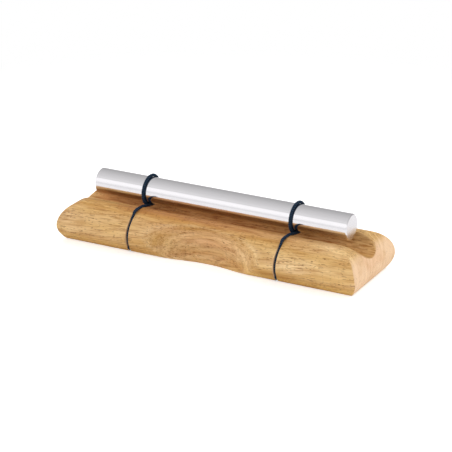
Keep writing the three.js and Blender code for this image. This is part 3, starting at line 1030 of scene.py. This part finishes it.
TOOL_MARKS = 9
TURNED = {"scale": (1, 1), "detail": 3, "roughness": 0.7}
SMEARS = {"scale": (0.05, 0.3), "detail": 3}
FINE_MARKS = {"scale": (0.5, 5)}
FINE_MARK_HEIGHT = 0.3
METAL_DARK = (0.87, 0.85, 0.875, 1)
METAL_LIGHT = (0.92, 0.9, 0.925, 1)
METAL_ROUGHNESS = 0.075
METAL_UNEVENNESS = 0.05
END_FACE_SPAN = (ROD_HALF - 0.06, ROD_HALF - 0.02)
END_FACE_ROUGHER = 0.1
METAL_BUMP = (0.12, 0.02)
METAL_LOOK = {"Metallic": 1.0}


def aluminium():
    """Turned and polished aluminium: faint rings round the rod and on its ends,
    a few handling marks, and a slightly uneven polish."""
    material, tree, shader = new_material("polished_aluminium", METAL_LOOK)
    place = in_millimetres(tree, (0, 0, -ROD_AXIS))
    parts = separated(place)
    tool_x = times(parts["X"], TOOL_MARKS)
    tool_out = times(from_axis(parts["Y"], parts["Z"]), TOOL_MARKS)
    turned = noise(joined(tree, X=tool_x, Y=tool_out), **TURNED)
    smears = noise(place, **SMEARS)
    fine = noise(place, **FINE_MARKS)
    colour = mixed(smears, METAL_DARK, METAL_LIGHT)
    faced = ramped(sums("ABSOLUTE", parts["X"]), *END_FACE_SPAN)
    rougher = (plus(smears, turned), METAL_UNEVENNESS), (faced, END_FACE_ROUGHER)
    height = plus(turned, times(fine, FINE_MARK_HEIGHT))
    finished(tree, shader, colour, height, METAL_BUMP, METAL_ROUGHNESS, rougher)
    return material


# Cord

YARN_FIBRES = {"scale": (1.1, 26, 1), "detail": 3, "roughness": 0.65}
YARN_FUZZ = {"scale": (3.5, 9, 1), "detail": 4, "roughness": 0.7}
YARN_DARK = rgb(12, 22, 34)
YARN_LIGHT = rgb(52, 76, 102)
YARN_SPAN = (0.3, 0.6)
# Painted shade in the grooves between the strands.
GROOVE_SHADE_COLOUR = rgb(1, 3, 5)
GROOVE_SHADE_SPAN = (0.45, 1.0)
YARN_ROUGHNESS = 0.6
YARN_ROUGHER = 0.3
YARN_FUZZ_HEIGHT = 0.5
YARN_BUMP = (0.7, 0.08)
YARN_LOOK = {"Specular IOR Level": 0.15}


def elastic_cord():
    """Dark blue-black cord: three twisted yarns of fine fibres, with painted
    shade in the grooves between them and a dull sheen."""
    material, tree, shader = new_material("elastic_cord", YARN_LOOK)
    uv = node(tree, "UVMap", uv_map="along_and_round").outputs["UV"]
    fibres = noise(uv, **YARN_FIBRES)
    fuzz = noise(uv, **YARN_FUZZ)
    colour = mixed(ramped(fibres, *YARN_SPAN), YARN_DARK, YARN_LIGHT)
    # Painted shade in the grooves between the strands.
    colour = mixed(ramped(marked(tree, "strand"), *GROOVE_SHADE_SPAN), GROOVE_SHADE_COLOUR, colour)
    height = plus(fibres, times(fuzz, YARN_FUZZ_HEIGHT))
    finished(tree, shader, colour, height, YARN_BUMP, YARN_ROUGHNESS, [(fuzz, YARN_ROUGHER)])
    return material


# The pieces


def add_base(material):
    """The wood base, in place of its solid."""
    grid, marks = base_grid()
    # These tones paint shade and light into the wood's colour.
    marks.update(end_grain=end_grain(grid), deep_tone=deep_tone(grid), pale_tone=pale_tone(grid))
    marks.update(foot_tone=tone(grid, FOOT_SHADE), trough=tone(grid, TROUGH_TONE))
    piece = shell("hardwood_base", grid, material, marks)
    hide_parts("wood_base")
    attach(piece, "base")


def add_rod(material):
    """The rod, in place of its solid."""
    piece = shell("aluminium_rod", rod_grid(), material)
    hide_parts("chime_rod")
    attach(piece, "rod")


def add_cord(side, place, material):
    """One cord: its five stretches, with one lay through all of them, and its
    knot. The spans stretch between the base and the rod; the runs and the knot go
    with the base, the wrap with the hangers, and the spans stay where they are made."""
    shift = np.array([place, 0, 0])
    length = 0.0
    for key, line in cord_lines().items():
        name = f"{side}_cord_{key}"
        grid, uv, strand = tube(line, cord_half_width(line), CORD_RADIUS, length)
        length += distances(line)[-1]
        piece = shell(f"{name}_twist", grid + shift, material, {"strand": strand}, uv)
        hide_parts(name)
        if key == "wrap":
            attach(piece, "hangers")
        elif key.endswith("span"):
            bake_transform(piece)
        else:
            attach(piece, "base")
    add_knot(side, shift, material)


def add_knot(side, shift, material):
    """The knot in its pocket, with the cord's two cut ends."""
    line = knot_line()
    closed = np.vstack([line, line[:1]])
    grid, uv, strand = tube(closed, KNOT_CORD_RADIUS, KNOT_CORD_RADIUS, lay=CORD_LAY / 2)
    marks = {"strand": strand[:-1]}
    knot = shell(f"{side}_cord_knot_twist", grid[:-1] + shift, material, marks, uv[:-1], closed_rows=True)
    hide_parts(f"{side}_cord_knot")
    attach(knot, "base")
    for number, turn in enumerate((1, -1), start=1):
        line = smooth_line(TAIL_POINTS * [turn, turn, 1])
        grid, uv, strand = tube(line, TAIL_CORD_RADIUS, TAIL_CORD_RADIUS)
        tail = shell(f"{side}_cord_tail_{number}", grid + shift, material, {"strand": strand}, uv)
        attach(tail, "base")


# Studio. A stop is a turn round the X axis, with the front at 0 and the ceiling
# at 90, and its brightness. A lamp is its direction, its spread and its strength.

CAMERA_AZIMUTH = np.radians(27.94)
CAMERA_ELEVATION = np.radians(21.39)
CAMERA_DISTANCE = 1229.9
CAMERA_ASIDE = (1.77, 15.96)
FOCAL_PIXELS = 2056.2
PHOTO_PIXELS = 452
SENSOR = 36.0
STUDIO_STOPS = (
    (-180, 0.7), (-90, 0.83), (2, 0.85), (9, 1.02), (20, 1.1), (38, 1.07), (43, 0.72),
    (50, 0.8), (64, 0.72), (94, 0.62), (112, 0.56), (140, 0.48), (160, 0.4), (180, 0.6),
)
AMBIENT_SHARE = 0.8
WHITE = (1, 1, 1, 1)
FLOOR_DROP = 0.1
FLOOR_HALF = 4000.0
FLOOR_LOOK = {
    "Base Color": (0.9, 0.9, 0.9, 1), "Roughness": 0.9, "Specular IOR Level": 0.1,
    "Emission Color": WHITE,
}
FLOOR_LIFT = 0.47
FLOOR_SPAN = (150.0, 420.0)
MIRRORED_LOSS_SHARE = 0.15
LAMPS = {
    "rear_left_softbox": ((-0.5, 0.5, 0.8), 25, 0.75),
    "rear_right_softbox": ((0.4, 0.5, 0.8), 25, 0.6),
    "left_fill": ((-0.55, -0.65, 0.4), 50, 0.78),
    "right_fill": ((0.9, 0.3, 0.3), 50, 1.0),
}


def placed(right, up, away, place):
    """The matrix of a camera or lamp at a place in millimetres that looks
    against away."""
    matrix = np.eye(4)
    matrix[:3] = np.column_stack([right, up, away, place * MM])
    return Matrix(matrix.tolist())


def add_camera():
    """The camera at the photograph's place: round the object by its azimuth and
    elevation, then aside so that the object falls where the photograph has it."""
    turn, rise = CAMERA_AZIMUTH, CAMERA_ELEVATION
    away = np.array([np.sin(turn) * np.cos(rise), -np.cos(turn) * np.cos(rise), np.sin(rise)])
    right = np.array([np.cos(turn), np.sin(turn), 0])
    up = np.cross(away, right)
    place = CAMERA_DISTANCE * away + CAMERA_ASIDE[0] * right + CAMERA_ASIDE[1] * up
    data = bpy.data.cameras.new("photo_view")
    data.sensor_width = SENSOR
    data.lens = SENSOR * FOCAL_PIXELS / PHOTO_PIXELS
    camera = added("photo_view", data)
    camera.matrix_world = placed(right, up, away, place)
    bpy.context.scene.camera = camera


def studio_ramp(tree):
    """The studio's brightness in each direction, by its turn round the X axis."""
    parts = separated(node(tree, "TexCoord").outputs["Generated"])
    turn = sums("ARCTAN2", parts["Z"], times(parts["Y"], -1))
    share = plus(sums("DIVIDE", turn, FULL_TURN), 0.5)
    ramp = node(tree, "ValToRGB", {"Fac": share})
    elements = ramp.color_ramp.elements
    elements.remove(elements[1])
    for index, (angle, level) in enumerate(STUDIO_STOPS):
        place = angle / 360 + 0.5
        stop = elements[0] if index == 0 else elements.new(place)
        stop.position = place
        stop.color = (level, level, level, 1)
    return ramp.outputs["Color"]


def add_world():
    """A plain studio: white to the camera, with a grey ceiling and a white front
    wall that the metal shows and that light the wood softly."""
    world = bpy.data.worlds.new("studio")
    bpy.context.scene.world = world
    world.use_nodes = True
    tree = world.node_tree
    tree.nodes.clear()
    studio = studio_ramp(tree)
    path = node(tree, "LightPath").outputs
    seen = sums("MAXIMUM", path["Is Glossy Ray"], path["Is Transmission Ray"])
    ambient = tinted(1.0, studio, [AMBIENT_SHARE] * 3)
    colour = mixed(seen, ambient, studio)
    colour = mixed(path["Is Camera Ray"], colour, WHITE)
    background = node(tree, "Background", {"Color": colour, "Strength": 1.0})
    node(tree, "OutputWorld", {"Surface": background.outputs[0]})


def white_table():
    """The table top's white, lifted where the camera sees it, and fading to plain
    white far out, also where the metal shows it."""
    material, tree, shader = new_material("white_table", FLOOR_LOOK)
    path = node(tree, "LightPath").outputs
    seen = sums("MAXIMUM", path["Is Camera Ray"], path["Is Transmission Ray"])
    tree.links.new(times(seen, FLOOR_LIFT), shader.inputs["Emission Strength"])
    inputs = {0: in_millimetres(tree)}
    away = node(tree, "VectorMath", inputs, operation="LENGTH").outputs["Value"]
    far = ramped(away, *FLOOR_SPAN)
    shown = times(far, sums("MAXIMUM", seen, path["Is Glossy Ray"]))
    mirrored = times(path["Is Glossy Ray"], MIRRORED_LOSS_SHARE)
    white = node(tree, "Emission", {"Strength": minus(1.0, mirrored)})
    both = node(tree, "MixShader", {0: shown, 1: shader.outputs[0], 2: white.outputs[0]})
    tree.links.new(both.outputs[0], tree.nodes["Material Output"].inputs["Surface"])
    return material


def add_floor():
    """A plain white table top that keeps the object's shadow."""
    half, drop = FLOOR_HALF * MM, -FLOOR_DROP * MM
    corners = [(half * x, half * y, drop) for x, y in ((-1, -1), (1, -1), (1, 1), (-1, 1))]
    mesh = bpy.data.meshes.new("table_top")
    mesh.from_pydata(corners, [], [(0, 1, 2, 3)])
    mesh.materials.append(white_table())
    floor = added("table_top", mesh)


def add_lamp(name, away, spread, strength):
    """A wide soft lamp far off in the direction away, that the metal doesn't show."""
    data = bpy.data.lights.new(name, "SUN")
    data.angle = np.radians(spread)
    data.energy = strength
    lamp = added(name, data)
    away = unit(away)
    side = unit(np.cross([0, 0, 1], away))
    lamp.matrix_world = placed(side, np.cross(away, side), away, away * CAMERA_DISTANCE)
    lamp.visible_glossy = False


def main():
    """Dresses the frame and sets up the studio."""
    bpy.context.scene.view_settings.view_transform = "Standard"
    add_camera()
    cord = elastic_cord()
    for side, place in CORD_PLACES.items():
        add_cord(side, place, cord)
    add_base(hardwood())
    add_rod(aluminium())
    add_world()
    add_floor()
    for name, (away, spread, strength) in LAMPS.items():
        add_lamp(name, away, spread, strength)


main()
